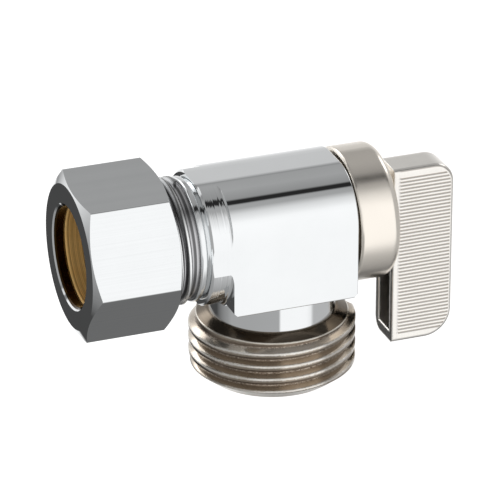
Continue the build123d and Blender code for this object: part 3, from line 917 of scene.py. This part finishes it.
warmed = add_node(
    tree,
    "ShaderNodeMix",
    {"data_type": "RGBA"},
    {COLOUR_B: linear(collar_colour)},
    {"Factor": on_collar.outputs[0], COLOUR_A: groove_shaded.outputs[COLOUR_RESULT]},
)
tree.links.new(warmed.outputs[COLOUR_RESULT], handle.shader.inputs["Base Color"])
nodes["handle"].material_slots[0].material = handle.material
print("satin nickel on the handle")

# %% [markdown]
# Thick plating rounds a casting's edges, which a Bevel node gives here too. It would also smooth the
# fine ribs away, so a mask keeps it off the ribbed face, which uses the solid's own normal.

# %% Soft edges on the handle
grip_z = 17.2
grip_half_height = 14.4
ribbed_face_y = 3.2
soft_radius = 0.45
soft_samples = 8
between = add_node(
    tree,
    "ShaderNodeMath",
    {"operation": "COMPARE"},
    {1: grip_z * MM, 2: grip_half_height * MM},
    {0: spread.outputs["Z"]},
)
outer = add_node(
    tree,
    "ShaderNodeMath",
    {"operation": "GREATER_THAN"},
    {1: ribbed_face_y * MM},
    {0: off_middle.outputs[0]},
)
on_face = add_node(
    tree, "ShaderNodeMath", {"operation": "MULTIPLY"}, links={0: on_grip.outputs[0], 1: outer.outputs[0]}
)
ribbed = add_node(
    tree, "ShaderNodeMath", {"operation": "MULTIPLY"}, links={0: on_face.outputs[0], 1: between.outputs[0]}
)
soft_edge = add_node(tree, "ShaderNodeBevel", {"samples": soft_samples}, {"Radius": soft_radius * MM})
face = add_node(tree, "ShaderNodeNewGeometry")
edged = add_node(
    tree,
    "ShaderNodeMix",
    {"data_type": "VECTOR"},
    links={
        "Factor": ribbed.outputs[0],
        VECTOR_A: soft_edge.outputs["Normal"],
        VECTOR_B: face.outputs["Normal"],
    },
)
tree.links.new(edged.outputs[VECTOR_RESULT], handle.normal)
print("handle edges softened by", soft_radius, "mm")

# %% [markdown]
# ## Bare brass and steel
# The sleeve in the pipe hole is turned brass: yellow, with clear rings of light and dark round its
# bore. A full metal would only mirror the dark hole, so the brass is set half metallic, and the lamp
# brings its colour out. The stem is brass too, and the grub screw is plain grey steel. The ball
# shares the body's material and lies within its bare bore, so it looks like polished brass. These
# are hidden in the closed valve, or nearly so.

# %% Brass, steel and the ball
brass_metallic = 0.5
brass = metal(
    "brass_turned",
    "F6CE88",
    "E6B668",
    rough=(0.3, 0.45),
    polish_mm=2,
    ripple=(1, 0.002),
    lines=("X", 0.2, 0.004),
    streak=0.7,
)
brass.shader.inputs["Metallic"].default_value = brass_metallic
steel = metal(
    "steel_plain",
    "9A9CA0",
    "84868A",
    rough=(0.25, 0.4),
    polish_mm=1,
    ripple=(0.5, 0.002),
    lines=("Y", 0.2, 0.001),
    streak=0.05,
)
for piece, finish in (
    ("compression_sleeve", brass),
    ("stem", brass),
    ("handle_grub_screw", steel),
    ("ball", body),
):
    nodes[piece].material_slots[0].material = finish.material
print("brass, steel and the ball are finished")

# %% [markdown]
# ## Seats and rings
# The seats and the washer are PTFE, white and waxy with a broad soft highlight. The rings are moulded
# rubber, black and matt. Neither is a metal, so they get a short recipe of their own: one fine grain
# that mottles the colour and roughens the surface.

# %% Plastic and rubber
grain_height = 0.004
soft_finishes = {}
for name, colour, shade, roughness, grain_mm in (
    ("seat_ptfe", "ECEAE4", "E0DDD4", 0.42, 0.6),
    ("rubber_moulded", "1C1C1C", "121212", 0.62, 0.3),
):
    material, tree, shader = new_material(name)
    where = add_node(tree, "ShaderNodeTexCoord").outputs["Object"]
    grain = add_node(
        tree,
        "ShaderNodeTexNoise",
        values={"Scale": 1 / (grain_mm * MM), "Detail": 3},
        links={"Vector": where},
    )
    tint = add_node(
        tree,
        "ShaderNodeMix",
        {"data_type": "RGBA"},
        {COLOUR_A: linear(colour), COLOUR_B: linear(shade)},
        {"Factor": grain.outputs["Fac"]},
    )
    bump = add_node(
        tree,
        "ShaderNodeBump",
        values={"Strength": 1, "Distance": grain_height * MM},
        links={"Height": grain.outputs["Fac"]},
    )
    tree.links.new(tint.outputs[COLOUR_RESULT], shader.inputs["Base Color"])
    tree.links.new(bump.outputs["Normal"], shader.inputs["Normal"])
    shader.inputs["Roughness"].default_value = roughness
    soft_finishes[name] = material
for piece in ("inlet_seat", "outlet_seat", "stem_thrust_washer"):
    nodes[piece].material_slots[0].material = soft_finishes["seat_ptfe"]
for piece in nodes:
    if "o_ring" in piece:
        nodes[piece].material_slots[0].material = soft_finishes["rubber_moulded"]
print("finished", len(nodes), "nodes")
